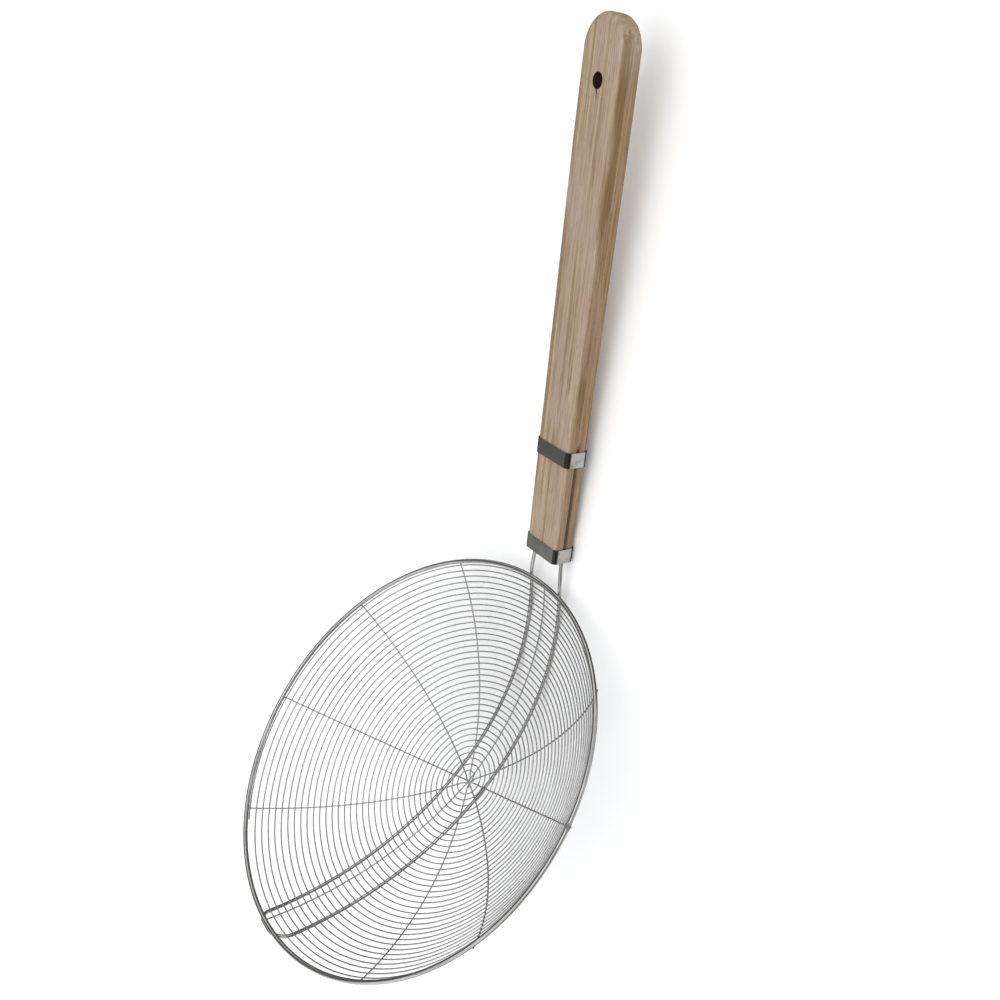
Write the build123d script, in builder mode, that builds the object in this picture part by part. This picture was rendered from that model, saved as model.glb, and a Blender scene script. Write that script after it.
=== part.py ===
from build123d import *
from math import acos, asin, atan2, ceil, cos, hypot, pi, radians, sin, sqrt, tan
import os

os.makedirs("parts", exist_ok=True)

# A spider skimmer: a wide wire-mesh bowl on a flat wooden handle.
# It lies as it would on a table, on the two wires under the bowl and on the handle's tip.
# All lengths are in millimetres and all angles in degrees.

# Bowl
rim_diameter = 292.1  # outside the rim wire, 11 1/2 in
rim_wire = 3.0
wire_sides = 10  # the thick wires are drawn with this many flats
bowl_depth = 68.0  # from the middle of the rim wire down to the mesh wire
weld_gap = 0.05  # left between wires that are welded together

# Ribs, five wires that run right across the bowl under the mesh
rib_wire = 0.9  # square wire with the section of the 1.0 mm round one
rib_headings = [  # from the handle's direction to each rib's two ends
    (0.3, 177.4),
    (34.1, 216.8),
    (71.0, 251.0),
    (107.3, 286.7),
    (141.5, 320.9),
]
rib_stop = 0.5  # how far a rib stops short of the middle of the rim wire
crossing_flat = 2.2  # half length of the flat where a rib crosses the others
crossing_reach = 5.2  # half length of the stretch that steps up or down to it
crossing_lead = 0.6
crossing_bend = 1.5
crossing_sweep = 100.0  # bend radius of the rib that isn't stepped
crossing_levels = [0, -1, 1, 2, -2]  # how many wires each rib is stepped up, by rib

# Mesh, one wire wound outwards in a spiral and welded to every rib
mesh_side = 0.8  # square wire with the section of the 0.9 mm round one
mesh_pitch = 4.4  # from turn to turn, along the bowl's curve
mesh_start = 6.0  # from the middle of the bowl to the wire's inner end
mesh_start_angle = -123.0
mesh_sag = 0.6  # the most that a straight run may leave the true turn by

# Support wire, bent like a hairpin under the bowl
frame_wire = 2.5
frame_half_near = 16.4  # half the spacing of its legs, under the rim beside the handle
frame_half_far = 13.4  # the same at the far side of the rim
frame_corners = {1: 6.0, -1: 12.0}  # bend radius at the far end's corner on each side
frame_corner_run = 1.0
frame_lead = 4.0  # straight stretch from the rim to the bend towards the handle
frame_bend = 20.0  # bend radius of the legs between the rim and the handle
frame_straight = 3.0  # straight stretch of a leg before it enters the wood

# Handle
reach = 336.55  # from the rim's outer edge to the handle's tip, 13 1/4 in
handle_angle = 42.0  # between the handle and the plane of the rim
free_wire = 22.5  # from the rim's outer edge to the wood
wood_width = 32.0  # at the bowl end
wood_flare = 3.2  # how much wider it is at the tip
wood_thickness = 15.0
wood_edge = 3.0  # radius of the rounded long edges
tip_edge = 4.0  # radius of the edges round the tip
tip_easing = 45.0  # stretch before the round tip in which the edges grow to that radius
edge_flats = 5  # each rounded edge of the wood is drawn with this many flats
hole_diameter = 8.0
hole_from_tip = 32.5
groove_width = 2.7
groove_length = 84.0
groove_ramp = 8.0  # stretch in which the groove runs out to the narrow face
wire_inset = 1.3  # from the narrow face to the middle of the leg, at the bowl end
groove_clearance = 0.1
wire_end_gap = 1.0  # from the leg's end to the upper band's far edge

# Bands, two strips of sheet metal closed round the handle
band_sheet = 0.8
band_width = 10.0
band_gap = 0.05  # between the band and the wood
upper_band_from_rim = 90.0  # from the rim's outer edge to the upper band
seam_gap = 0.4  # between the ends of the strip, at the middle of the back
cut_overrun = 5.0

# The layers of the bowl are spheres round one centre, on the bowl's axis above the rim.
rim_radius = (rim_diameter - rim_wire) / 2
rim_rise = bowl_depth + (mesh_side - rim_wire) / 2
centre_height = (rim_radius**2 - rim_rise**2) / (2 * rim_rise)
rim_sphere = centre_height + rim_rise
rib_sphere = rim_sphere + (rim_wire + rib_wire) / 2 + weld_gap
mesh_sphere = rib_sphere - (rib_wire + mesh_side) / 2 - weld_gap
rim_angle = asin(rim_radius / rim_sphere)

# The legs of the support wire touch the rim at both ends and the ribs in the middle.
leg_end_sphere = rim_sphere + (rim_wire + frame_wire) / 2 + weld_gap
leg_middle_sphere = rib_sphere + (rib_wire + frame_wire) / 2 + weld_gap
leg_end_radius = leg_end_sphere * sin(rim_angle)
leg_end_height = centre_height - leg_end_sphere * cos(rim_angle)
near_x = sqrt(leg_end_radius**2 - frame_half_near**2)
far_x = -leg_end_radius
middle_x = (near_x + far_x) / 2
middle_half = (frame_half_near + frame_half_far) / 2
middle_height = centre_height - sqrt(leg_middle_sphere**2 - middle_half**2)
leg_half_chord = hypot(near_x - far_x, frame_half_near - frame_half_far) / 2
leg_sagitta = leg_end_height - middle_height
leg_radius = (leg_half_chord**2 + leg_sagitta**2) / (2 * leg_sagitta)
leg_centre_height = middle_height + leg_radius
leg_turn = asin(leg_half_chord / leg_radius)
leg_heading = atan2(frame_half_near - frame_half_far, near_x - far_x)

# The handle's axis, seen from the side, in the plane of the bowl's axis.
handle_slope = radians(handle_angle)
axis_x = near_x + frame_lead * cos(leg_turn) * cos(leg_heading)
axis_height = leg_end_height + frame_lead * sin(leg_turn)
axis_start = (axis_x - rim_diameter / 2) * cos(handle_slope) + axis_height * sin(handle_slope)
tip = reach - axis_start
wood_start = free_wire - axis_start
wood_length = tip - wood_start
wood_tip_width = wood_width + wood_flare
taper = wood_flare / 2 / wood_length
leg_in_wood = wood_width / 2 - wire_inset

# The skimmer leans over from standing on its legs until the handle's side meets the table.
upper_band_start = upper_band_from_rim - axis_start
band_drop = wood_thickness / 2 + band_gap + band_sheet
tip_drop = wood_thickness / 2 - tip_edge


def lean_onto(along, drop, edge):
    """How far the skimmer leans to stand on a place of the handle's back with a rounded edge."""
    foot_x = axis_x + along * cos(handle_slope) + drop * sin(handle_slope) - middle_x
    foot_z = axis_height + along * sin(handle_slope) - drop * cos(handle_slope) - leg_centre_height
    return asin((leg_radius + frame_wire / 2 - edge) / hypot(foot_x, foot_z)) + atan2(foot_z, foot_x)


lean = min(
    lean_onto(wood_start, band_drop, 0),
    lean_onto(wood_start + band_width, band_drop, 0),
    lean_onto(upper_band_start + band_width, band_drop, 0),
    lean_onto(tip - tip_edge, tip_drop, tip_edge),
)
lie_height = leg_radius + frame_wire / 2 + middle_x * sin(lean) - leg_centre_height * cos(lean)

# The origin is under the middle of the whole length.
back_reach = leg_radius * sin(min(leg_turn + lean, pi / 2)) + frame_wire / 2
back_of_legs = middle_x * cos(lean) + leg_centre_height * sin(lean) - back_reach
back_of_rim = -rim_radius * cos(lean) - rim_wire / 2
handle_rise = handle_slope - lean
front_of_tip = (
    axis_x * cos(lean)
    + axis_height * sin(lean)
    + (tip - tip_edge) * cos(handle_rise)
    + tip_drop * abs(sin(handle_rise))
    + tip_edge
)
shift = -(min(back_of_legs, back_of_rim) + front_of_tip) / 2

# The bowl's own frame: origin in the middle of the rim, X towards the handle, Z out of the bowl.
bowl = Plane(
    origin=(shift, 0, lie_height),
    x_dir=(cos(lean), 0, -sin(lean)),
    z_dir=(sin(lean), 0, cos(lean)),
)


def in_bowl(x, y, z):
    """The point at x, y, z of the bowl's own frame."""
    return bowl.from_local_coords(Vector(x, y, z))


def bowl_direction(x, y, z):
    """The direction x, y, z of the bowl's own frame."""
    return (in_bowl(x, y, z) - bowl.origin).normalized()


# The handle's frame: X along the handle, Z square to the wide face on the bowl's open side.
handle_frame = Plane(
    origin=in_bowl(axis_x, 0, axis_height),
    x_dir=bowl_direction(cos(handle_slope), 0, sin(handle_slope)),
    z_dir=bowl_direction(-sin(handle_slope), 0, cos(handle_slope)),
)
along_handle = Axis(handle_frame.origin, handle_frame.x_dir)
across_thickness = Axis(handle_frame.origin, handle_frame.z_dir)


def in_handle(x, y, z):
    """The point at x, y, z of the handle's frame."""
    return handle_frame.from_local_coords(Vector(x, y, z))


# Rim ring: one round wire bent into a hoop, with its ends welded
with BuildPart() as rim_ring:
    rim_section = Plane(origin=in_bowl(rim_radius, 0, 0), x_dir=bowl.x_dir, z_dir=-bowl.y_dir)
    with BuildSketch(rim_section):
        RegularPolygon(rim_wire / 2, wire_sides)
    revolve(axis=Axis(bowl.origin, bowl.z_dir))
rim_ring.part.label = "rim_ring"
export_step(rim_ring.part, "parts/rim_ring.step")


def leg_point(angle, side, run=0):
    """A point of a leg's arc, or run past it on its tangent, at an angle from the arc's middle."""
    forward = leg_radius * sin(angle) + run * cos(angle)
    height = leg_centre_height - leg_radius * cos(angle) + run * sin(angle)
    half = middle_half + forward * sin(leg_heading)
    return in_bowl(middle_x + forward * cos(leg_heading), side * half, height)


def corner_start(side):
    """Where a leg leaves its arc for the corner, as an angle from the arc's middle."""
    return (frame_corners[side] + frame_corner_run) / leg_radius - leg_turn


def corner_tip(side):
    """Where a leg and the cross bar would meet if the corner weren't rounded."""
    return leg_point(corner_start(side), side, -frame_corners[side] - frame_corner_run)


# Support wire: up one side of the wood, under the rim and the bowl, across and back
leg_end = upper_band_start + band_width - wire_end_gap
bar_share = frame_corners[1] / (frame_corners[1] + frame_corners[-1])
bar_middle = corner_tip(1) + (corner_tip(-1) - corner_tip(1)) * bar_share
with BuildLine() as support_path:
    for side in (1, -1):
        FilletPolyline(
            in_handle(leg_end, side * leg_in_wood, 0),
            in_handle(wood_start - frame_straight, side * leg_in_wood, 0),
            leg_point(leg_turn, side, frame_lead),
            leg_point(leg_turn, side),
            radius=frame_bend,
        )
        far_point = leg_point(corner_start(side), side)
        ThreePointArc(leg_point(leg_turn, side), leg_point(0, side), far_point)
        FilletPolyline(far_point, corner_tip(side), bar_middle, radius=frame_corners[side])
with BuildPart() as support_wire:
    leg_section = Plane(origin=in_handle(leg_end, leg_in_wood, 0), z_dir=-handle_frame.x_dir)
    with BuildSketch(leg_section):
        RegularPolygon(frame_wire / 2, wire_sides)
    sweep(path=support_path.wire())
support_wire.part.label = "support_wire"
export_step(support_wire.part, "parts/support_wire.step")

# Rib wires: all but one are stepped up or down in the middle, so that the five cross in a stack
rib_end_turn = rim_angle - rib_stop / rib_sphere
rib_short_turn = rim_angle - (frame_wire / 2 + 2 * weld_gap) / rib_sphere
crossing_turn = (crossing_reach + crossing_lead) / rib_sphere
for rib, (near_heading, far_heading) in enumerate(rib_headings):
    level = crossing_levels[rib % len(crossing_levels)] * (rib_wire + weld_gap)
    # The rib in line with the handle stops at the cross bar of the support wire.
    far_end_turn = rib_short_turn if rib == 0 else rib_end_turn

    def rib_point(along, height):
        """A point above or on this rib, along it from the bowl's axis."""
        heading = radians(near_heading if along >= 0 else far_heading)
        return in_bowl(abs(along) * cos(heading), abs(along) * sin(heading), height)

    def rib_arc_point(turn, run=0):
        """A point of the rib's arc, or run past it on its tangent, at a turn from the middle."""
        along = rib_sphere * sin(turn) + run * cos(turn)
        return rib_point(along, centre_height - rib_sphere * cos(turn) + run * sin(turn))

    with BuildLine() as rib_path:
        for start_turn, end_turn in ((-far_end_turn, -crossing_turn), (crossing_turn, rib_end_turn)):
            ThreePointArc(
                rib_arc_point(start_turn),
                rib_arc_point((start_turn + end_turn) / 2),
                rib_arc_point(end_turn),
            )
        if level == 0:
            FilletPolyline(
                rib_arc_point(-crossing_turn),
                rib_point(0, centre_height - rib_sphere / cos(crossing_turn)),
                rib_arc_point(crossing_turn),
                radius=crossing_sweep,
            )
        else:
            FilletPolyline(
                rib_arc_point(-crossing_turn),
                rib_arc_point(-crossing_turn, crossing_lead),
                rib_point(-crossing_flat, centre_height - rib_sphere + level),
                rib_point(crossing_flat, centre_height - rib_sphere + level),
                rib_arc_point(crossing_turn, -crossing_lead),
                rib_arc_point(crossing_turn),
                radius=crossing_bend,
            )
    with BuildPart() as rib_wire_piece:
        rib_start = rib_arc_point(-far_end_turn)
        rib_run = rib_arc_point(-far_end_turn, rib_wire) - rib_start
        rib_across = bowl_direction(sin(radians(far_heading)), -cos(radians(far_heading)), 0)
        with BuildSketch(Plane(origin=rib_start, x_dir=rib_across, z_dir=rib_run)):
            Rectangle(rib_wire, rib_wire)
        sweep(path=rib_path.wire())
    rib_name = f"rib_wire_{rib + 1}"
    rib_wire_piece.part.label = rib_name
    export_step(rib_wire_piece.part, f"parts/{rib_name}.step")

# Spiral wire: its turns lie on the ribs, and its outer end closes on the rim
mesh_drop = mesh_sphere - rim_sphere - mesh_side / 2
rim_clear = rim_wire / 2 + weld_gap
mesh_rim_space = mesh_side / 2 + sqrt(max(0, rim_clear**2 - mesh_drop**2))
mesh_end = mesh_sphere * rim_angle - mesh_rim_space
mesh_turns = (mesh_end - mesh_start) / mesh_pitch


def mesh_radius(turns):
    """How far the wire's middle is from the bowl's axis, so many turns from its inner end."""
    return mesh_sphere * sin((mesh_start + mesh_pitch * turns) / mesh_sphere)


def mesh_frame(turns):
    """The plane of the wire's section, so many turns from its inner end."""
    angle = radians(mesh_start_angle) + 2 * pi * turns
    rise = (mesh_start + mesh_pitch * turns) / mesh_sphere
    radius = mesh_radius(turns)
    return Plane(
        origin=in_bowl(radius * cos(angle), radius * sin(angle), centre_height - mesh_sphere * cos(rise)),
        x_dir=bowl_direction(cos(rise) * cos(angle), cos(rise) * sin(angle), sin(rise)),
        z_dir=bowl_direction(-sin(angle), cos(angle), 0),
    )


# The wire bends where it crosses a rib, and between ribs as often as the turn's width asks for.
headings = [heading for pair in rib_headings for heading in pair]
spokes = sorted(radians(heading - mesh_start_angle) / (2 * pi) % 1 for heading in headings)
crossings = [lap + spoke for lap in range(ceil(mesh_turns)) for spoke in spokes]
crossings = [crossing for crossing in crossings if crossing < mesh_turns]
mesh_bends = []
for near, far in zip([0] + crossings, crossings + [mesh_turns]):
    run_angle = 2 * acos(1 - mesh_sag / max(mesh_radius(far), 2 * mesh_sag))
    runs = ceil(2 * pi * (far - near) / run_angle)
    mesh_bends += [near + (far - near) * run / runs for run in range(runs)]
mesh_bends.append(mesh_turns)

# A long ruled loft can come out twisted, with a volume below zero. It then starts at the other end.
for bends in (mesh_bends, mesh_bends[::-1]):
    with BuildPart() as spiral_wire:
        for turns in bends:
            with BuildSketch(mesh_frame(turns)):
                Rectangle(mesh_side, mesh_side)
        loft(ruled=True)
    if spiral_wire.part.volume > 0:
        break
spiral_wire.part.label = "spiral_wire"
export_step(spiral_wire.part, "parts/spiral_wire.step")
mesh_gap = min(
    (mesh_frame(turns + 1).origin - mesh_frame(turns).origin).length
    for turns in mesh_bends
    if turns + 1 < mesh_turns
) - hypot(mesh_side, mesh_side) - mesh_sag
print(f"spiral wire: {mesh_turns:.2f} turns, {len(mesh_bends)} bends, least gap {mesh_gap:.2f} mm")

# Handle: a flat hardwood bar with eased edges and a domed round tip, a hole and two grooves
wood_straight = tip - wood_tip_width / 2
easing_start = wood_straight - tip_easing
groove_floor = leg_in_wood - frame_wire / 2 - groove_clearance
groove_end = wood_start + groove_length
groove_mouth = wood_width / 2 + taper * groove_length


def wood_corner(width, edge, quarter):
    """The points of one rounded corner of the wood's section, counted from the +Y +Z one."""
    side = 1 if quarter in (0, 3) else -1
    face = 1 if quarter in (0, 1) else -1
    angles = [(quarter + flat / edge_flats) * pi / 2 for flat in range(edge_flats + 1)]
    middle_y = side * (width / 2 - edge)
    middle_z = face * (wood_thickness / 2 - edge)
    return [(middle_y + edge * cos(angle), middle_z + edge * sin(angle)) for angle in angles]


def across_handle(along):
    """The plane square to the handle, so far along it, with its X across the wide face."""
    return Plane(in_handle(along, 0, 0), x_dir=handle_frame.y_dir, z_dir=handle_frame.x_dir)


with BuildPart() as handle:
    wood_sections = []
    for along, edge in (
        (wood_start, wood_edge),
        (easing_start, wood_edge),
        (wood_straight, tip_edge),
    ):
        width = wood_width + 2 * taper * (along - wood_start)
        with BuildSketch(across_handle(along), mode=Mode.PRIVATE) as wood_section:
            with BuildLine():
                corners = [wood_corner(width, edge, quarter) for quarter in range(4)]
                Polyline(*[point for corner in corners for point in corner], close=True)
            make_face()
        wood_sections.append(wood_section.sketch)
    loft(wood_sections, ruled=True)
    with BuildSketch(across_handle(wood_straight)):
        with BuildLine():
            Polyline(
                (0, -wood_thickness / 2),
                *wood_corner(wood_tip_width, tip_edge, 3),
                *wood_corner(wood_tip_width, tip_edge, 0),
                (0, wood_thickness / 2),
                close=True,
            )
        make_face()
    tip_axis = Axis(in_handle(wood_straight, 0, 0), -handle_frame.z_dir)
    revolve(axis=tip_axis, revolution_arc=180)
    with BuildSketch(handle_frame):
        for side in (1, -1):
            with BuildLine():
                Polyline(
                    (wood_start - cut_overrun, side * groove_floor),
                    (groove_end - groove_ramp, side * groove_floor),
                    (groove_end + groove_ramp, side * (2 * groove_mouth - groove_floor)),
                    (wood_start - cut_overrun, side * (2 * groove_mouth - groove_floor)),
                    close=True,
                )
            make_face()
    extrude(amount=groove_width / 2, both=True, mode=Mode.SUBTRACT)
    with BuildSketch(handle_frame):
        with Locations((tip - hole_from_tip, 0)):
            Circle(hole_diameter / 2)
    extrude(amount=wood_thickness / 2 + cut_overrun, both=True, mode=Mode.SUBTRACT)
handle.part.label = "handle"
export_step(handle.part, "parts/handle.step")

# Bands: each strip is bent round the wood and the legs, and its ends meet at the back
for band_name, band_start in (("lower_band", wood_start), ("upper_band", upper_band_start)):
    band_far = band_start + band_width
    inner_width = wood_width + 2 * taper * (band_far - wood_start) + 2 * band_gap
    inner_thickness = wood_thickness + 2 * band_gap
    with BuildPart() as band:
        band_plane = Plane(
            origin=in_handle(band_start, 0, 0),
            x_dir=handle_frame.y_dir,
            z_dir=handle_frame.x_dir,
        )
        with BuildSketch(band_plane):
            RectangleRounded(
                inner_width + 2 * band_sheet,
                inner_thickness + 2 * band_sheet,
                wood_edge + band_gap + band_sheet,
            )
            RectangleRounded(inner_width, inner_thickness, wood_edge + band_gap, mode=Mode.SUBTRACT)
            with Locations((0, -(inner_thickness + band_sheet) / 2)):
                Rectangle(seam_gap, 2 * band_sheet, mode=Mode.SUBTRACT)
        extrude(amount=band_width)
    band.part.label = band_name
    export_step(band.part, f"parts/{band_name}.step")
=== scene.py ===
import bpy
import bmesh
from math import asin, atan2, cos, hypot, pi, radians, sin, sqrt, tan
from mathutils import Matrix, Vector


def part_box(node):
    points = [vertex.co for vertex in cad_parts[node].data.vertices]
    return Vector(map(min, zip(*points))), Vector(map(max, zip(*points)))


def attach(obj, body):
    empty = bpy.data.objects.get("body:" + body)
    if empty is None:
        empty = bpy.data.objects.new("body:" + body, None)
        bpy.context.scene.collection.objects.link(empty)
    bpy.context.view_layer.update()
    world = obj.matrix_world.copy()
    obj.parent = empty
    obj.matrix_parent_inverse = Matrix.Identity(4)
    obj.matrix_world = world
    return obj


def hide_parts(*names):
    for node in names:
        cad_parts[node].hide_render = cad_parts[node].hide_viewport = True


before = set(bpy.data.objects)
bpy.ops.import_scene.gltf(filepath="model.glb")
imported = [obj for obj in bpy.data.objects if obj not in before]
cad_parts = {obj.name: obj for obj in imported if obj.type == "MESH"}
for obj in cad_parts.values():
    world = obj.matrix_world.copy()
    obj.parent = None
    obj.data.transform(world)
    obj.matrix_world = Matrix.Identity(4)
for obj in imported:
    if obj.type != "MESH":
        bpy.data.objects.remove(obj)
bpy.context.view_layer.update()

# Rim ring. One bright drawn wire bent into a hoop, its ends butted and welded into a small bead.
# Everything in the bowl is drawn in the bowl's own frame, with the origin in the middle of the
# rim, X towards the handle and Z out of the bowl, and is then laid down as the CAD rim lies.
rim_diameter = 0.2921
rim_wire = 0.0030
rim_wire_drawn = rim_wire - 0.00005  # keeps the round hoop inside the faceted one's box
rim_radius = (rim_diameter - rim_wire) / 2
weld_bead_angle = radians(-73.5)
weld_bead_swell = 0.16
weld_bead_half = radians(1.1)
rim_low, rim_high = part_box("rim_ring")
rim_spread = rim_high - rim_low
lean = atan2(rim_spread.z - rim_wire, rim_spread.x - rim_wire)
bowl_place = Matrix.Translation((rim_low + rim_high) / 2) @ Matrix.Rotation(lean, 4, "Y")


def tree_node(tree, kind, *inputs, out=0, **settings):
    """Adds a node with its settings, feeds its inputs in order, and gives back one output."""
    node = tree.nodes.new(kind)
    for name, value in settings.items():
        setattr(node, name, value)
    enabled = [socket for socket in node.inputs if socket.enabled]
    for socket, value in zip(enabled, inputs):
        if value is None:
            continue
        if isinstance(value, bpy.types.NodeSocket):
            tree.links.new(value, socket)
        else:
            socket.default_value = value
    return [socket for socket in node.outputs if socket.enabled][out]


def sum_of(tree, kind, first, second=None):
    """One step of arithmetic on two values in a tree."""
    return tree_node(tree, "ShaderNodeMath", first, second, operation=kind)


def smooth_step(tree, value, low, high, bottom=0.0, top=1.0):
    """A value eased from bottom to top as it goes from low to high."""
    return tree_node(
        tree, "ShaderNodeMapRange", value, low, high, bottom, top, interpolation_type="SMOOTHSTEP"
    )


def mixed(tree, factor, first, second, blend="MIX"):
    """Two colours mixed by a mask."""
    return tree_node(
        tree, "ShaderNodeMix", factor, first, second,
        data_type="RGBA", blend_type=blend, clamp_factor=True,
    )


def new_geometry_tree(name, sizes):
    """An empty Geometry Nodes tree with a mesh output and named number inputs."""
    tree = bpy.data.node_groups.new(name, "GeometryNodeTree")
    tree.interface.new_socket("Geometry", in_out="INPUT", socket_type="NodeSocketGeometry")
    for size in sizes:
        kind = "NodeSocketInt" if size in ("Sides", "Stations") else "NodeSocketFloat"
        tree.interface.new_socket(size, in_out="INPUT", socket_type=kind)
    tree.interface.new_socket("Finish", in_out="INPUT", socket_type="NodeSocketMaterial")
    tree.interface.new_socket("Geometry", in_out="OUTPUT", socket_type="NodeSocketGeometry")
    entry = tree.nodes.new("NodeGroupInput")
    return tree, {socket.name: socket for socket in entry.outputs if socket.name}


def finish_wire(tree, given, path, thickness=1.0):
    """Ends a tree: draws a round wire along the path and gives it its finish."""
    path = tree_node(tree, "GeometryNodeSetCurveRadius", path, None, thickness)
    half = sum_of(tree, "MULTIPLY", given["Wire"], 0.5)
    ring = tree_node(tree, "GeometryNodeCurvePrimitiveCircle", given["Sides"], half)
    swell = tree_node(tree, "GeometryNodeInputRadius")
    tube = tree_node(tree, "GeometryNodeCurveToMesh", path, ring, swell, True)
    smooth = tree_node(tree, "GeometryNodeSetShadeSmooth", tube)
    real = tree_node(tree, "GeometryNodeRealizeInstances", smooth)
    coated = tree_node(tree, "GeometryNodeSetMaterial", real, None, given["Finish"])
    tree.links.new(coated, tree.nodes.new("NodeGroupOutput").inputs[0])


def grown_mesh(name, tree, values, finish, route=None):
    """Runs a tree on a curve, or on nothing, and keeps the result as a plain mesh."""
    start = route or bpy.data.meshes.new(name + "_holder")
    holder = bpy.data.objects.new(name + "_holder", start)
    bpy.context.scene.collection.objects.link(holder)
    modifier = holder.modifiers.new("Grow", "NODES")
    modifier.node_group = tree
    values = {**values, "Finish": finish}
    for item in tree.interface.items_tree:
        if item.in_out == "INPUT" and item.name in values:
            modifier[item.identifier] = values[item.name]
    bpy.context.view_layer.update()
    depsgraph = bpy.context.evaluated_depsgraph_get()
    mesh = bpy.data.meshes.new_from_object(holder.evaluated_get(depsgraph))
    holder.modifiers.remove(modifier)
    bpy.data.objects.remove(holder)
    mesh.name = name
    return mesh


def bowl_piece(name, tree, values, finish, node, route=None):
    """A wire drawn in the bowl's frame, laid down, and put in place of its CAD node."""
    mesh = grown_mesh(name, tree, values, finish, route)
    mesh.transform(bowl_place)
    piece = bpy.data.objects.new(name, mesh)
    bpy.context.scene.collection.objects.link(piece)
    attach(piece, "root")
    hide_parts(node)


def number(tree, name, kind="NodeSocketFloat", value=0.0):
    """A named input of a shader node group, with its first value."""
    socket = tree.interface.new_socket(name, in_out="INPUT", socket_type=kind)
    socket.default_value = value


def new_finish(name):
    """A new material with its node tree and its shader."""
    material = bpy.data.materials.new(name)
    material.use_nodes = True
    return material, material.node_tree, material.node_tree.nodes["Principled BSDF"]


def add_relief(tree, height, strength, distance):
    """Fine relief on a finish."""
    bump = tree.nodes.new("ShaderNodeBump")
    bump.inputs["Strength"].default_value = strength
    bump.inputs["Distance"].default_value = distance
    tree.links.new(height, bump.inputs["Height"])
    tree.links.new(bump.outputs["Normal"], tree.nodes["Principled BSDF"].inputs["Normal"])


# Drawn wire is bright but never even. It dulls in patches where it was handled, under a fine
# grain of draw marks, and takes another colour where a mesh attribute marks it: weld marks on
# the rim and the mesh, and painted shade on the support wire's stretch in the groove.
oxide_brown = (0.16, 0.145, 0.13)
marks_per_patch = 22.0
dull_roughness = 0.16
mark_roughness = 0.2
mark_cover = 0.85
drawn_wire = bpy.data.node_groups.new("Drawn wire", "ShaderNodeTree")
number(drawn_wire, "Bright", "NodeSocketColor", (0.60, 0.60, 0.60, 1))
number(drawn_wire, "Dull", "NodeSocketColor", (0.34, 0.34, 0.33, 1))
number(drawn_wire, "Patch Scale", value=60.0)
number(drawn_wire, "Roughness", value=0.26)
number(drawn_wire, "Mark", value=0.0)
number(drawn_wire, "Mark And Shade Color", "NodeSocketColor", (*oxide_brown, 1))
drawn_wire.interface.new_socket("Color", in_out="OUTPUT", socket_type="NodeSocketColor")
drawn_wire.interface.new_socket("Roughness", in_out="OUTPUT", socket_type="NodeSocketFloat")
drawn_wire.interface.new_socket("Height", in_out="OUTPUT", socket_type="NodeSocketFloat")
given = drawn_wire.nodes.new("NodeGroupInput").outputs
place = tree_node(drawn_wire, "ShaderNodeTexCoord", out=3)
patches = tree_node(drawn_wire, "ShaderNodeTexNoise", place, given["Patch Scale"], 3.0, 0.6)
patches = tree_node(drawn_wire, "ShaderNodeMapRange", patches, 0.38, 0.66, 0.0, 1.0)
fine_scale = sum_of(drawn_wire, "MULTIPLY", given["Patch Scale"], marks_per_patch)
lines = tree_node(drawn_wire, "ShaderNodeTexNoise", place, fine_scale, 2.0, 0.5)
shade = mixed(drawn_wire, patches, given["Dull"], given["Bright"])
shade = mixed(drawn_wire, given["Mark"], shade, given["Mark And Shade Color"])
rough = tree_node(drawn_wire, "ShaderNodeMapRange", patches, 0.0, 1.0, dull_roughness, 0.0)
rough = sum_of(drawn_wire, "ADD", given["Roughness"], rough)
marked_rough = sum_of(drawn_wire, "MULTIPLY", given["Mark"], mark_roughness)
rough = sum_of(drawn_wire, "ADD", rough, marked_rough)
leave = drawn_wire.nodes.new("NodeGroupOutput").inputs
drawn_wire.links.new(shade, leave["Color"])
drawn_wire.links.new(rough, leave["Roughness"])
drawn_wire.links.new(lines, leave["Height"])


def wire_finish(name, bright, dull, scale, roughness, bump, mark=None, mark_and_shade_color=oxide_brown):
    """Bright drawn steel wire, with the weld marks and painted groove shade that an attribute
    gives.
    """
    material, tree, shader = new_finish(name)
    shader.inputs["Metallic"].default_value = 1.0
    group = tree.nodes.new("ShaderNodeGroup")
    group.node_tree = drawn_wire
    group.inputs["Bright"].default_value = (*bright, 1)
    group.inputs["Dull"].default_value = (*dull, 1)
    group.inputs["Patch Scale"].default_value = scale
    group.inputs["Roughness"].default_value = roughness
    group.inputs["Mark And Shade Color"].default_value = (*mark_and_shade_color, 1)
    # Where the attribute is set the wire takes the mark colour and loses shine: weld marks on the
    # rim and mesh, painted groove shade on the support wire.
    if mark:
        marked = tree_node(tree, "ShaderNodeAttribute", out=2, attribute_name=mark)
        tree.links.new(marked, group.inputs["Mark"])
        covered = sum_of(tree, "MULTIPLY", marked, mark_cover)
        bare = sum_of(tree, "SUBTRACT", 1.0, covered)
        tree.links.new(bare, shader.inputs["Metallic"])
    tree.links.new(group.outputs["Color"], shader.inputs["Base Color"])
    tree.links.new(group.outputs["Roughness"], shader.inputs["Roughness"])
    add_relief(tree, group.outputs["Height"], bump, 0.0001)
    return material


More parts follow.
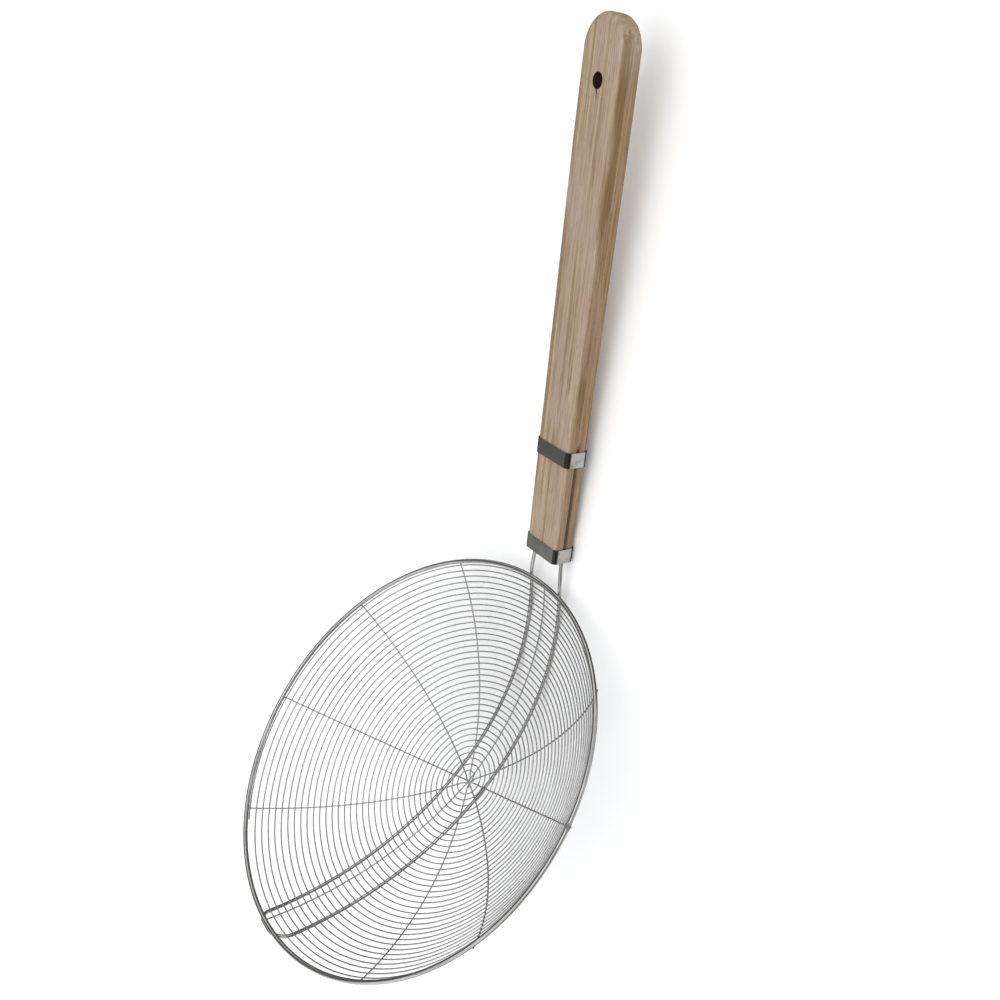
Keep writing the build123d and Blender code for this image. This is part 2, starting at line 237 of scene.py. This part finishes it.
rim_finish = wire_finish(
    "Rim wire", (0.64, 0.63, 0.62), (0.46, 0.455, 0.45), 45.0, 0.12, 0.06, "weld_mark_and_groove_shade"
)
rim_tree, given = new_geometry_tree(
    "Rim hoop", ["Radius", "Wire", "Sides", "Stations", "Bead Angle", "Bead Half", "Bead Swell"]
)
hoop = tree_node(rim_tree, "GeometryNodeCurvePrimitiveCircle", given["Stations"], given["Radius"])
spot = tree_node(rim_tree, "GeometryNodeInputPosition")
flat = tree_node(rim_tree, "ShaderNodeSeparateXYZ", spot).node.outputs
around = sum_of(rim_tree, "ARCTAN2", flat["Y"], flat["X"])
away = sum_of(rim_tree, "ABSOLUTE", sum_of(rim_tree, "SUBTRACT", around, given["Bead Angle"]))
near_bead = sum_of(rim_tree, "DIVIDE", away, given["Bead Half"])
near_bead = smooth_step(rim_tree, near_bead, 0.3, 1.0, 1.0, 0.0)
swell = sum_of(rim_tree, "ADD", sum_of(rim_tree, "MULTIPLY", near_bead, given["Bead Swell"]), 1.0)
heated = tree_node(rim_tree, "GeometryNodeStoreNamedAttribute", hoop, None, "weld_mark_and_groove_shade", near_bead)
finish_wire(rim_tree, given, heated, swell)
bowl_piece(
    "rim", rim_tree,
    {
        "Radius": rim_radius, "Wire": rim_wire_drawn, "Sides": 20, "Stations": 720,
        "Bead Angle": weld_bead_angle, "Bead Half": weld_bead_half, "Bead Swell": weld_bead_swell,
    },
    rim_finish, "rim_ring",
)

# Mesh wire. One 0.9 mm wire wound outwards from the middle in nearly 36 turns, welded to every
# rib it crosses. It strays a hair between ribs, and each weld has left a small dull mark.
mesh_wire = 0.0009
mesh_pitch = 0.0044
mesh_start = 0.0060
mesh_start_angle = radians(-123.0)
mesh_stop = 0.0021
mesh_slack = 0.0012
slack_angle = 0.3
mark_length = 0.0014
mark_strength = 0.75
stray_rate = 7.3
station_spread = 0.52  # spaces the stations nearly evenly along the wire
cad_mesh_half = 0.0004
bowl_depth = 0.0680
rib_headings = [(0.3, 177.4), (34.1, 216.8), (71.0, 251.0), (107.3, 286.7), (141.5, 320.9)]
rib_ends = [radians(heading) for pair in rib_headings for heading in pair]
rim_rise = bowl_depth + cad_mesh_half - rim_wire / 2
centre_height = (rim_radius**2 - rim_rise**2) / (2 * rim_rise)
rim_sphere = centre_height + rim_rise
mesh_sphere = centre_height + bowl_depth + mesh_wire / 2 - cad_mesh_half
rim_turn = asin(rim_radius / rim_sphere)
mesh_end = mesh_sphere * rim_turn - mesh_stop
mesh_turns = (mesh_end - mesh_start) / mesh_pitch
mesh_finish = wire_finish(
    "Mesh wire", (0.64, 0.64, 0.65), (0.46, 0.46, 0.46), 38.0, 0.20, 0.12, "weld_mark_and_groove_shade"
)


def point_line(tree, given):
    """Points in a row, to be moved onto a wire's path, and each one's share of the way."""
    line = tree_node(tree, "GeometryNodeCurvePrimitiveLine")
    line = tree_node(tree, "GeometryNodeResampleCurve", line, None, given["Stations"])
    last = sum_of(tree, "SUBTRACT", given["Stations"], 1.0)
    return line, sum_of(tree, "DIVIDE", tree_node(tree, "GeometryNodeInputIndex"), last)


def round_axis(tree, reach, angle, height):
    """A place given by its reach from the bowl's axis, its heading and its height."""
    return tree_node(
        tree, "ShaderNodeCombineXYZ",
        sum_of(tree, "MULTIPLY", reach, sum_of(tree, "COSINE", angle)),
        sum_of(tree, "MULTIPLY", reach, sum_of(tree, "SINE", angle)),
        height,
    )


mesh_tree, given = new_geometry_tree(
    "Wound mesh",
    ["Turns", "Pitch", "Start", "Start Angle", "Sphere", "Centre", "Slack", "Slack Angle",
     "Mark Length", "Wire", "Sides", "Stations"]
    + [f"Rib End {end + 1}" for end in range(len(rib_ends))],
)
line, share = point_line(mesh_tree, given)
turn = sum_of(mesh_tree, "POWER", share, station_spread)
turn = sum_of(mesh_tree, "MULTIPLY", turn, given["Turns"])
arc = sum_of(mesh_tree, "ADD", sum_of(mesh_tree, "MULTIPLY", turn, given["Pitch"]), given["Start"])
angle = sum_of(
    mesh_tree, "ADD", sum_of(mesh_tree, "MULTIPLY", turn, 2 * pi), given["Start Angle"]
)
off_rib = None
for end in range(len(rib_ends)):
    past = sum_of(mesh_tree, "SUBTRACT", angle, given[f"Rib End {end + 1}"])
    past = tree_node(mesh_tree, "ShaderNodeMath", past, pi, -pi, operation="WRAP")
    past = sum_of(mesh_tree, "ABSOLUTE", past)
    off_rib = past if off_rib is None else sum_of(mesh_tree, "MINIMUM", off_rib, past)
between = smooth_step(mesh_tree, off_rib, 0.0, given["Slack Angle"])
wander = sum_of(mesh_tree, "MULTIPLY", turn, stray_rate)
loose = tree_node(mesh_tree, "ShaderNodeTexNoise", wander, 1.0, 2.0, 0.5, noise_dimensions="1D")
stray = sum_of(mesh_tree, "MULTIPLY", sum_of(mesh_tree, "SUBTRACT", loose, 0.5), given["Slack"])
stray = sum_of(mesh_tree, "MULTIPLY", stray, between)
rise = sum_of(mesh_tree, "DIVIDE", sum_of(mesh_tree, "ADD", arc, stray), given["Sphere"])
reach = sum_of(mesh_tree, "MULTIPLY", sum_of(mesh_tree, "SINE", rise), given["Sphere"])
drop = sum_of(mesh_tree, "MULTIPLY", sum_of(mesh_tree, "COSINE", rise), given["Sphere"])
height = sum_of(mesh_tree, "SUBTRACT", given["Centre"], drop)
spot = round_axis(mesh_tree, reach, angle, height)
wound = tree_node(mesh_tree, "GeometryNodeSetPosition", line, None, spot)
from_weld = sum_of(mesh_tree, "MULTIPLY", off_rib, reach)
mark = smooth_step(mesh_tree, from_weld, 0.0, given["Mark Length"], mark_strength, 0.0)
wound = tree_node(mesh_tree, "GeometryNodeStoreNamedAttribute", wound, None, "weld_mark_and_groove_shade", mark)
finish_wire(mesh_tree, given, wound)
bowl_piece(
    "spiral_mesh", mesh_tree,
    {
        "Turns": mesh_turns, "Pitch": mesh_pitch, "Start": mesh_start,
        "Start Angle": mesh_start_angle, "Sphere": mesh_sphere, "Centre": centre_height,
        "Slack": mesh_slack, "Slack Angle": slack_angle, "Mark Length": mark_length,
        "Wire": mesh_wire, "Sides": 8, "Stations": 9000,
        **{f"Rib End {end + 1}": heading for end, heading in enumerate(rib_ends)},
    },
    mesh_finish, "spiral_wire",
)

# Ribs. Five straight 1.0 mm wires bent to the bowl's curve run right across under the mesh.
# Where they meet in the middle each is stepped over or under its neighbours, in a stack.
rib_wire = 0.0010
rib_sphere = mesh_sphere + (mesh_wire + rib_wire) / 2
rib_stop = 0.0005
cross_bar_stop = 0.00135
crossing_levels = [0, -1, 1, 2, -2]
crossing_step = 0.00102
crossing_flat = 0.0022
crossing_reach = 0.0054
rib_finish = wire_finish("Rib wire", (0.58, 0.58, 0.58), (0.42, 0.42, 0.42), 30.0, 0.20, 0.12)
rib_tree, given = new_geometry_tree(
    "Crossing rib",
    ["Near Angle", "Far Angle", "From Turn", "To Turn", "Sphere", "Centre", "Level", "Flat",
     "Reach", "Wire", "Sides", "Stations"],
)
line, share = point_line(rib_tree, given)
turn = tree_node(
    rib_tree, "ShaderNodeMapRange", share, 0.0, 1.0, given["From Turn"], given["To Turn"]
)
along = sum_of(rib_tree, "MULTIPLY", sum_of(rib_tree, "SINE", turn), given["Sphere"])
from_middle = sum_of(rib_tree, "ABSOLUTE", along)
stepped = smooth_step(rib_tree, from_middle, given["Flat"], given["Reach"], 1.0, 0.0)
height = sum_of(
    rib_tree, "SUBTRACT", given["Centre"],
    sum_of(rib_tree, "MULTIPLY", sum_of(rib_tree, "COSINE", turn), given["Sphere"]),
)
height = sum_of(rib_tree, "ADD", height, sum_of(rib_tree, "MULTIPLY", stepped, given["Level"]))
angle = smooth_step(
    rib_tree, along, sum_of(rib_tree, "MULTIPLY", given["Flat"], -1.0), given["Flat"],
    given["Far Angle"], given["Near Angle"],
)
spot = round_axis(rib_tree, along, angle, height)
bent = tree_node(rib_tree, "GeometryNodeSetPosition", line, None, spot)
finish_wire(rib_tree, given, bent)
for rib, (near_heading, far_heading) in enumerate(rib_headings):
    far_stop = cross_bar_stop if rib == 0 else rib_stop
    bowl_piece(
        f"rib_{rib + 1}", rib_tree,
        {
            "Near Angle": radians(near_heading), "Far Angle": radians(far_heading - 180.0),
            "From Turn": far_stop / rib_sphere - rim_turn,
            "To Turn": rim_turn - rib_stop / rib_sphere,
            "Sphere": rib_sphere, "Centre": centre_height,
            "Level": crossing_levels[rib] * crossing_step, "Flat": crossing_flat,
            "Reach": crossing_reach,
            "Wire": rib_wire, "Sides": 12, "Stations": 420,
        },
        rib_finish, f"rib_wire_{rib + 1}",
    )

# Support wire. One thick wire bent like a hairpin: up a groove in the wood, under the rim and
# the bowl, across at the far side and back. Its legs close in a little towards the far bend,
# and the stretch in the wood's groove is painted dark brown and made less shiny, as painted shade.
frame_wire = 0.00243
frame_half_near = 0.0164
frame_half_far = 0.0134
frame_corners = {1: 0.0060, -1: 0.0120}
frame_corner_run = 0.0010
frame_bend = 0.0200
frame_lead = 0.0040
handle_slope = radians(42.0)
handle_length = 0.33655
wire_ends_at = 0.0990
free_wire = 0.0225
leg_in_wood = 0.0147
wood_edge_gap = 0.0004
straight_out_of_wood = 0.0030
leg_below_rim = 0.0028
leg_below_ribs = 0.00175
arc_steps = 160
# Painted shade: the dark brown given to the stretch of wire that lies in the wood's groove.
groove_painted_shade = (0.075, 0.052, 0.036)
leg_end_sphere = rim_sphere + leg_below_rim
leg_middle_sphere = rib_sphere + leg_below_ribs
leg_end_radius = leg_end_sphere * sin(rim_turn)
leg_end_height = centre_height - leg_end_sphere * cos(rim_turn)
near_x = sqrt(leg_end_radius**2 - frame_half_near**2)
far_x = -leg_end_radius
middle_x = (near_x + far_x) / 2
middle_half = (frame_half_near + frame_half_far) / 2
middle_height = centre_height - sqrt(leg_middle_sphere**2 - middle_half**2)
leg_half_chord = hypot(near_x - far_x, frame_half_near - frame_half_far) / 2
leg_sagitta = leg_end_height - middle_height
leg_radius = (leg_half_chord**2 + leg_sagitta**2) / (2 * leg_sagitta)
leg_centre_height = middle_height + leg_radius
leg_turn = asin(leg_half_chord / leg_radius)
leg_heading = atan2(frame_half_near - frame_half_far, near_x - far_x)
axis_x = near_x + frame_lead * cos(leg_turn) * cos(leg_heading)
axis_height = leg_end_height + frame_lead * sin(leg_turn)
axis_start = (axis_x - rim_diameter / 2) * cos(handle_slope) + axis_height * sin(handle_slope)
wood_start = free_wire - axis_start


def leg_point(turn, side, run=0.0):
    """A point of a leg's arc, or run past it on its tangent, in the bowl's frame."""
    forward = leg_radius * sin(turn) + run * cos(turn)
    height = leg_centre_height - leg_radius * cos(turn) + run * sin(turn)
    half = middle_half + forward * sin(leg_heading)
    return Vector((middle_x + forward * cos(leg_heading), side * half, height))


def handle_point(along, across, up):
    """A point given in the handle's frame, X along it and Z to the bowl's open side."""
    x = axis_x + along * cos(handle_slope) - up * sin(handle_slope)
    return Vector((x, across, axis_height + along * sin(handle_slope) + up * cos(handle_slope)))


def rounded(corners, radius, steps=12):
    """The corners' path with each inner corner turned into a round bend."""
    path = [corners[0]]
    for before, corner, after in zip(corners, corners[1:], corners[2:]):
        back = (before - corner).normalized()
        ahead = (after - corner).normalized()
        half_bend = back.angle(ahead) / 2
        middle = corner + (back + ahead).normalized() * radius / sin(half_bend)
        first = (corner + back * radius / tan(half_bend) - middle).normalized()
        last = (corner + ahead * radius / tan(half_bend) - middle).normalized()
        path += [middle + first.slerp(last, step / steps) * radius for step in range(steps + 1)]
    return path + [corners[-1]]


def corner_start(side):
    """Where a leg leaves its arc for the far corner, as a turn from the arc's middle."""
    return (frame_corners[side] + frame_corner_run) / leg_radius - leg_turn


leg_end = wire_ends_at - axis_start
corner_tips = {
    side: leg_point(corner_start(side), side, -frame_corners[side] - frame_corner_run)
    for side in (1, -1)
}
bar_share = frame_corners[1] / (frame_corners[1] + frame_corners[-1])
bar_middle = corner_tips[1].lerp(corner_tips[-1], bar_share)
halves = []
for side in (1, -1):
    in_groove = [
        handle_point(along, side * leg_in_wood, 0)
        for along in (leg_end, wood_start + wood_edge_gap)
    ]
    entering = rounded(
        [
            handle_point(wood_start - wood_edge_gap, side * leg_in_wood, 0),
            handle_point(wood_start - straight_out_of_wood, side * leg_in_wood, 0),
            leg_point(leg_turn, side, frame_lead),
            leg_point(leg_turn, side),
        ],
        frame_bend,
    )
    arc_turns = [
        leg_turn + (corner_start(side) - leg_turn) * step / arc_steps
        for step in range(1, arc_steps)
    ]
    far_bend = rounded(
        [leg_point(corner_start(side), side), corner_tips[side], bar_middle], frame_corners[side],
    )
    halves.append(in_groove + entering + [leg_point(turn, side) for turn in arc_turns] + far_bend)
hairpin = halves[0] + halves[1][-2::-1]

frame_finish = wire_finish(
    "Support wire", (0.54, 0.54, 0.53), (0.38, 0.38, 0.37), 40.0, 0.10, 0.05, "weld_mark_and_groove_shade",
    groove_painted_shade,
)
frame_tree, given = new_geometry_tree("Bent wire", ["Wire", "Sides", "Wood Starts"])
spot = tree_node(frame_tree, "GeometryNodeInputPosition")
from_axis = tree_node(
    frame_tree, "ShaderNodeVectorMath", spot, (axis_x, 0, axis_height), operation="SUBTRACT",
)
along = tree_node(
    frame_tree, "ShaderNodeVectorMath", from_axis, (cos(handle_slope), 0, sin(handle_slope)),
    operation="DOT_PRODUCT",
)
# Painted shade: the stretch of wire inside the wood's groove is marked here, to be painted dark
# brown and made less shiny.
in_wood = sum_of(frame_tree, "GREATER_THAN", along, given["Wood Starts"])
marked = tree_node(
    frame_tree, "GeometryNodeStoreNamedAttribute", given["Geometry"], None, "weld_mark_and_groove_shade", in_wood
)
finish_wire(frame_tree, given, marked)
route = bpy.data.curves.new("support_route", "CURVE")
route.dimensions = "3D"
run = route.splines.new("POLY")
run.points.add(len(hairpin) - 1)
for point, spot in zip(run.points, hairpin):
    point.co = (*spot, 1)
bowl_piece(
    "support_frame", frame_tree,
    {"Wire": frame_wire, "Sides": 20, "Wood Starts": wood_start},
    frame_finish, "support_wire", route,
)

# Handle. A flat bar of pale close-grained hardwood, sawn with the grain along it, sanded and
# lightly waxed. Its wide faces are greyer than its sides, whose warmer colour is also painted
# darker as painted shade, and a short crack runs from the hole towards the bowl.
handle_rise = handle_slope - lean
handle_origin = bowl_place @ handle_point(0, 0, 0)
tip_along = handle_length - axis_start
tip_fade = 0.034
tip_round = 0.014
hole_from_tip = 0.0325
hole_radius = 0.0040
crack_length = 0.0100
crack_slant = 0.12
face_height = 0.0073
edge_height = 0.0050
face_light = (0.46, 0.355, 0.245, 1)
face_dark = (0.285, 0.20, 0.112, 1)
face_weathered = (0.415, 0.315, 0.245, 1)
# Side colours: the wood's warmer tone, painted darker as painted shade on the narrow sides.
side_pale_with_painted_shade = (0.36, 0.225, 0.108, 1)
side_dark_with_painted_shade = (0.20, 0.112, 0.038, 1)
side_weathered_with_painted_shade = (0.30, 0.20, 0.12, 1)
fibre_tint = (0.70, 0.62, 0.52, 1)
fleck_brown = (0.15, 0.085, 0.035, 1)
crack_brown = (0.05, 0.025, 0.015, 1)
# Painted shade: the nearly black colour given to the hole's wall.
hole_painted_shade = (0.035, 0.015, 0.012, 1)


def handle_place(tree):
    """Object coordinates turned into the handle's own frame."""
    place = tree_node(tree, "ShaderNodeTexCoord", out=3)
    shift = tree_node(
        tree, "ShaderNodeVectorMath", place, tuple(handle_origin), operation="SUBTRACT"
    )
    return tree_node(
        tree, "ShaderNodeVectorRotate", shift, (0, 0, 0), (0, handle_rise, 0),
        rotation_type="EULER_XYZ",
    )


def grain(tree, place, along, across, detail, roughness, distortion=0.0):
    """Noise with one scale along the handle and another across it."""
    stretched = tree_node(
        tree, "ShaderNodeVectorMath", place, (along, across, across), operation="MULTIPLY"
    )
    noise = tree_node(tree, "ShaderNodeTexNoise", stretched, 1.0, detail, roughness)
    noise.node.inputs["Distortion"].default_value = distortion
    return noise


wood, tree, shader = new_finish("Waxed hardwood")
place = handle_place(tree)
spot = tree_node(tree, "ShaderNodeSeparateXYZ", place).node.outputs
streaks = smooth_step(tree, grain(tree, place, 6.0, 330.0, 3.0, 0.55, 0.25), 0.38, 0.62)
fibres = grain(tree, place, 40.0, 1500.0, 3.0, 0.6)
flecks = smooth_step(tree, grain(tree, place, 230.0, 1500.0, 2.0, 0.5), 0.60, 0.72)
clouds = smooth_step(tree, grain(tree, place, 14.0, 120.0, 3.0, 0.5, 0.5), 0.42, 0.60)
faces = mixed(tree, clouds, mixed(tree, streaks, face_light, face_dark), face_weathered)
sides = mixed(tree, clouds, mixed(tree, streaks, side_pale_with_painted_shade, side_dark_with_painted_shade), side_weathered_with_painted_shade)

# The sides get their warmer colour, darkened with painted shade, but less of both round the tip.
off_middle = sum_of(tree, "ABSOLUTE", spot["Z"])
on_side = smooth_step(tree, off_middle, edge_height, face_height, 1.0, 0.0)
near_tip = smooth_step(tree, spot["X"], tip_along - tip_fade, tip_along - tip_round, 1.0, 0.25)
on_side = sum_of(tree, "MULTIPLY", on_side, near_tip)
colour = mixed(tree, on_side, faces, sides)
fibre_mask = smooth_step(tree, fibres, 0.32, 0.70, 0.0, 0.95)
colour = mixed(tree, fibre_mask, colour, mixed(tree, 1.0, colour, fibre_tint, "MULTIPLY"))
fleck_mask = sum_of(tree, "MULTIPLY", flecks, smooth_step(tree, on_side, 0.0, 1.0, 0.45, 0.9))
colour = mixed(tree, fleck_mask, colour, fleck_brown)

# The crack slants away from the hole towards the bowl and grows narrower.
along = sum_of(tree, "SUBTRACT", spot["X"], tip_along - hole_from_tip)
wander = sum_of(tree, "MULTIPLY", sum_of(tree, "ADD", along, 0.004), crack_slant)
off_crack = sum_of(tree, "ABSOLUTE", sum_of(tree, "SUBTRACT", spot["Y"], wander))
crack_width = smooth_step(tree, along, 0.0002 - crack_length, -0.004, 0.00015, 0.00055)
crack = smooth_step(tree, sum_of(tree, "DIVIDE", off_crack, crack_width), 0.7, 1.3, 1.0, 0.0)
crack_start = smooth_step(tree, along, -crack_length, 0.001 - crack_length)
crack = sum_of(tree, "MULTIPLY", crack_start, crack)
crack = sum_of(tree, "MULTIPLY", crack, smooth_step(tree, along, -0.0005, 0.0, 1.0, 0.0))
colour = mixed(tree, crack, colour, crack_brown)
# Painted shade: the hole's wall and a thin ring round its mouth are painted nearly black, as the
# shade inside the hole.
along_squared = sum_of(tree, "POWER", along, 2.0)
across_squared = sum_of(tree, "POWER", spot["Y"], 2.0)
from_hole = sum_of(tree, "SQRT", sum_of(tree, "ADD", along_squared, across_squared))
in_hole = smooth_step(tree, from_hole, hole_radius + 0.0001, hole_radius + 0.0004, 1.0, 0.0)
colour = mixed(tree, in_hole, colour, hole_painted_shade)
tree.links.new(colour, shader.inputs["Base Color"])
tree.links.new(smooth_step(tree, fibres, 0.3, 0.8, 0.44, 0.62), shader.inputs["Roughness"])
shader.inputs["Coat Weight"].default_value = 0.08
shader.inputs["Coat Roughness"].default_value = 0.35
depth = sum_of(tree, "SUBTRACT", fibres, sum_of(tree, "MULTIPLY", flecks, 0.4))
depth = sum_of(tree, "SUBTRACT", depth, sum_of(tree, "MULTIPLY", crack, 3.0))
add_relief(tree, depth, 0.35, 0.00012)

same_point = 0.000002
same_plane = radians(0.05)
crease = radians(35.0)


def smooth_copy(node, name, finish):
    """The CAD node's form with its facets joined and its round edges shaded smooth."""
    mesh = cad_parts[node].data.copy()
    welded = bmesh.new()
    welded.from_mesh(mesh)
    bmesh.ops.remove_doubles(welded, verts=welded.verts, dist=same_point)
    bmesh.ops.dissolve_limit(
        welded, angle_limit=same_plane, verts=welded.verts, edges=welded.edges
    )
    welded.to_mesh(mesh)
    welded.free()
    mesh.name = name
    mesh.shade_smooth()
    mesh.set_sharp_from_angle(angle=crease)
    mesh.materials.clear()
    mesh.materials.append(finish)
    rough_piece = bpy.data.objects.new(name + "_rough", mesh)
    bpy.context.scene.collection.objects.link(rough_piece)
    weighted = rough_piece.modifiers.new("Even shading", "WEIGHTED_NORMAL")
    weighted.keep_sharp = True
    bpy.context.view_layer.update()
    depsgraph = bpy.context.evaluated_depsgraph_get()
    done = bpy.data.meshes.new_from_object(rough_piece.evaluated_get(depsgraph))
    bpy.data.objects.remove(rough_piece)
    piece = bpy.data.objects.new(name, done)
    bpy.context.scene.collection.objects.link(piece)
    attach(piece, "root")
    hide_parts(node)


smooth_copy("handle", "wooden_handle", wood)

# Bands. Two strips of bright sheet steel bent tight round the wood and the legs of the
# support wire, with their ends meeting at the back. Faint brush lines run along each strip,
# and its four sharp bends are painted nearly black as a painted dark reflection.
band_clean = (0.44, 0.44, 0.425, 1)
band_stained = (0.33, 0.325, 0.30, 1)
# Painted reflection: the nearly black colour of the bends stands in for the dark surroundings they
# mirror.
band_bend_painted_reflection = (0.035, 0.034, 0.030, 1)
bend_across = (0.0136, 0.0148)
bend_up = (0.0050, 0.0064)
band_finish, tree, shader = new_finish("Band steel")
shader.inputs["Metallic"].default_value = 1.0
place = handle_place(tree)
brushed = grain(tree, place, 2400.0, 30.0, 2.0, 0.5)
stain = smooth_step(tree, grain(tree, place, 160.0, 160.0, 3.0, 0.6), 0.4, 0.7)
spot = tree_node(tree, "ShaderNodeSeparateXYZ", place).node.outputs
# Painted reflection: the four bends of each band are painted nearly black.
near_edge = smooth_step(tree, sum_of(tree, "ABSOLUTE", spot["Y"]), *bend_across)
near_face = smooth_step(tree, sum_of(tree, "ABSOLUTE", spot["Z"]), *bend_up)
painted_reflection_at_bend = sum_of(tree, "MULTIPLY", near_edge, near_face)
colour = mixed(tree, painted_reflection_at_bend, mixed(tree, stain, band_clean, band_stained), band_bend_painted_reflection)
tree.links.new(colour, shader.inputs["Base Color"])
tree.links.new(smooth_step(tree, stain, 0.0, 1.0, 0.22, 0.34), shader.inputs["Roughness"])
add_relief(tree, brushed, 0.05, 0.00002)
for node in ("lower_band", "upper_band"):
    smooth_copy(node, node.replace("_", "_clamp_"), band_finish)

# Studio. A plain pale floor under the skimmer, soft even light, and a camera that stands where
# the photograph was taken from, given in the bowl's own frame. Shiny steel mirrors a darker
# room with pale panels at both sides and in front, instead of the floor and the pale air.
floor_half = 6.0
floor_pale = (0.93, 0.93, 0.93, 1)
floor_mesh = bpy.data.meshes.new("floor")
floor_mesh.from_pydata(
    [(x * floor_half, y * floor_half, 0) for x, y in ((-1, -1), (1, -1), (1, 1), (-1, 1))],
    [], [(0, 1, 2, 3)],
)
floor_finish, tree, shader = new_finish("Pale floor")
shader.inputs["Base Color"].default_value = floor_pale
shader.inputs["Roughness"].default_value = 0.9
floor_mesh.materials.append(floor_finish)
floor = bpy.data.objects.new("floor", floor_mesh)
bpy.context.scene.collection.objects.link(floor)
floor.visible_glossy = False

air_pale = (0.85, 0.86, 0.87, 1)
room_dark = (0.13, 0.125, 0.11, 1)
panel_white = (1.0, 1.0, 1.0, 1)
world = bpy.data.worlds.new("Studio air")
bpy.context.scene.world = world
world.use_nodes = True
tree = world.node_tree
heading = tree_node(tree, "ShaderNodeTexCoord", out=0)
heading = tree_node(tree, "ShaderNodeSeparateXYZ", heading).node.outputs
at_sides = smooth_step(tree, sum_of(tree, "ABSOLUTE", heading["X"]), 0.35, 0.75)
at_sides = sum_of(tree, "MULTIPLY", at_sides, smooth_step(tree, heading["Z"], -0.1, 0.1))
in_front = smooth_step(tree, heading["Y"], -0.50, -0.20, 1.0, 0.0)
below = smooth_step(tree, heading["Z"], -0.45, -0.15, 1.0, 0.0)
in_front = sum_of(tree, "MULTIPLY", in_front, below)
room = mixed(tree, sum_of(tree, "MAXIMUM", at_sides, in_front), room_dark, panel_white)
mirrored = tree_node(tree, "ShaderNodeLightPath", out=3)
air = mixed(tree, mirrored, air_pale, room)
tree.links.new(air, tree.nodes["Background"].inputs["Color"])
tree.nodes["Background"].inputs["Strength"].default_value = 1.0

lamp = bpy.data.lights.new("soft_box", "SUN")
lamp.energy = 1.3
lamp.angle = radians(90.0)
light = bpy.data.objects.new("soft_box", lamp)
bpy.context.scene.collection.objects.link(light)
light_falls = Vector((-0.10, 0.40, -1.0))
light.rotation_euler = light_falls.to_track_quat("-Z", "Y").to_euler()
bpy.context.scene.view_settings.view_transform = "Standard"

eye = Vector((0.13112, -0.45283, 0.47209))
sight = Vector((0.07067, 0.62654, -0.77618)).normalized()
upright = Vector((0.78018, 0.45014, 0.43439)).normalized()
focal_share = 0.9543
middle_share = (0.63663, 0.59749)
to_right = sight.cross(upright).normalized()
turned = Matrix((to_right, to_right.cross(sight), -sight)).transposed().to_4x4()
camera_data = bpy.data.cameras.new("photo_camera")
camera_data.sensor_width = 36.0
camera_data.lens = focal_share * camera_data.sensor_width
camera_data.shift_x = 0.5 - middle_share[0]
camera_data.shift_y = middle_share[1] - 0.5
camera_data.clip_start = 0.01
camera = bpy.data.objects.new("photo_camera", camera_data)
bpy.context.scene.collection.objects.link(camera)
camera.matrix_world = bowl_place @ Matrix.Translation(eye) @ turned
bpy.context.scene.camera = camera
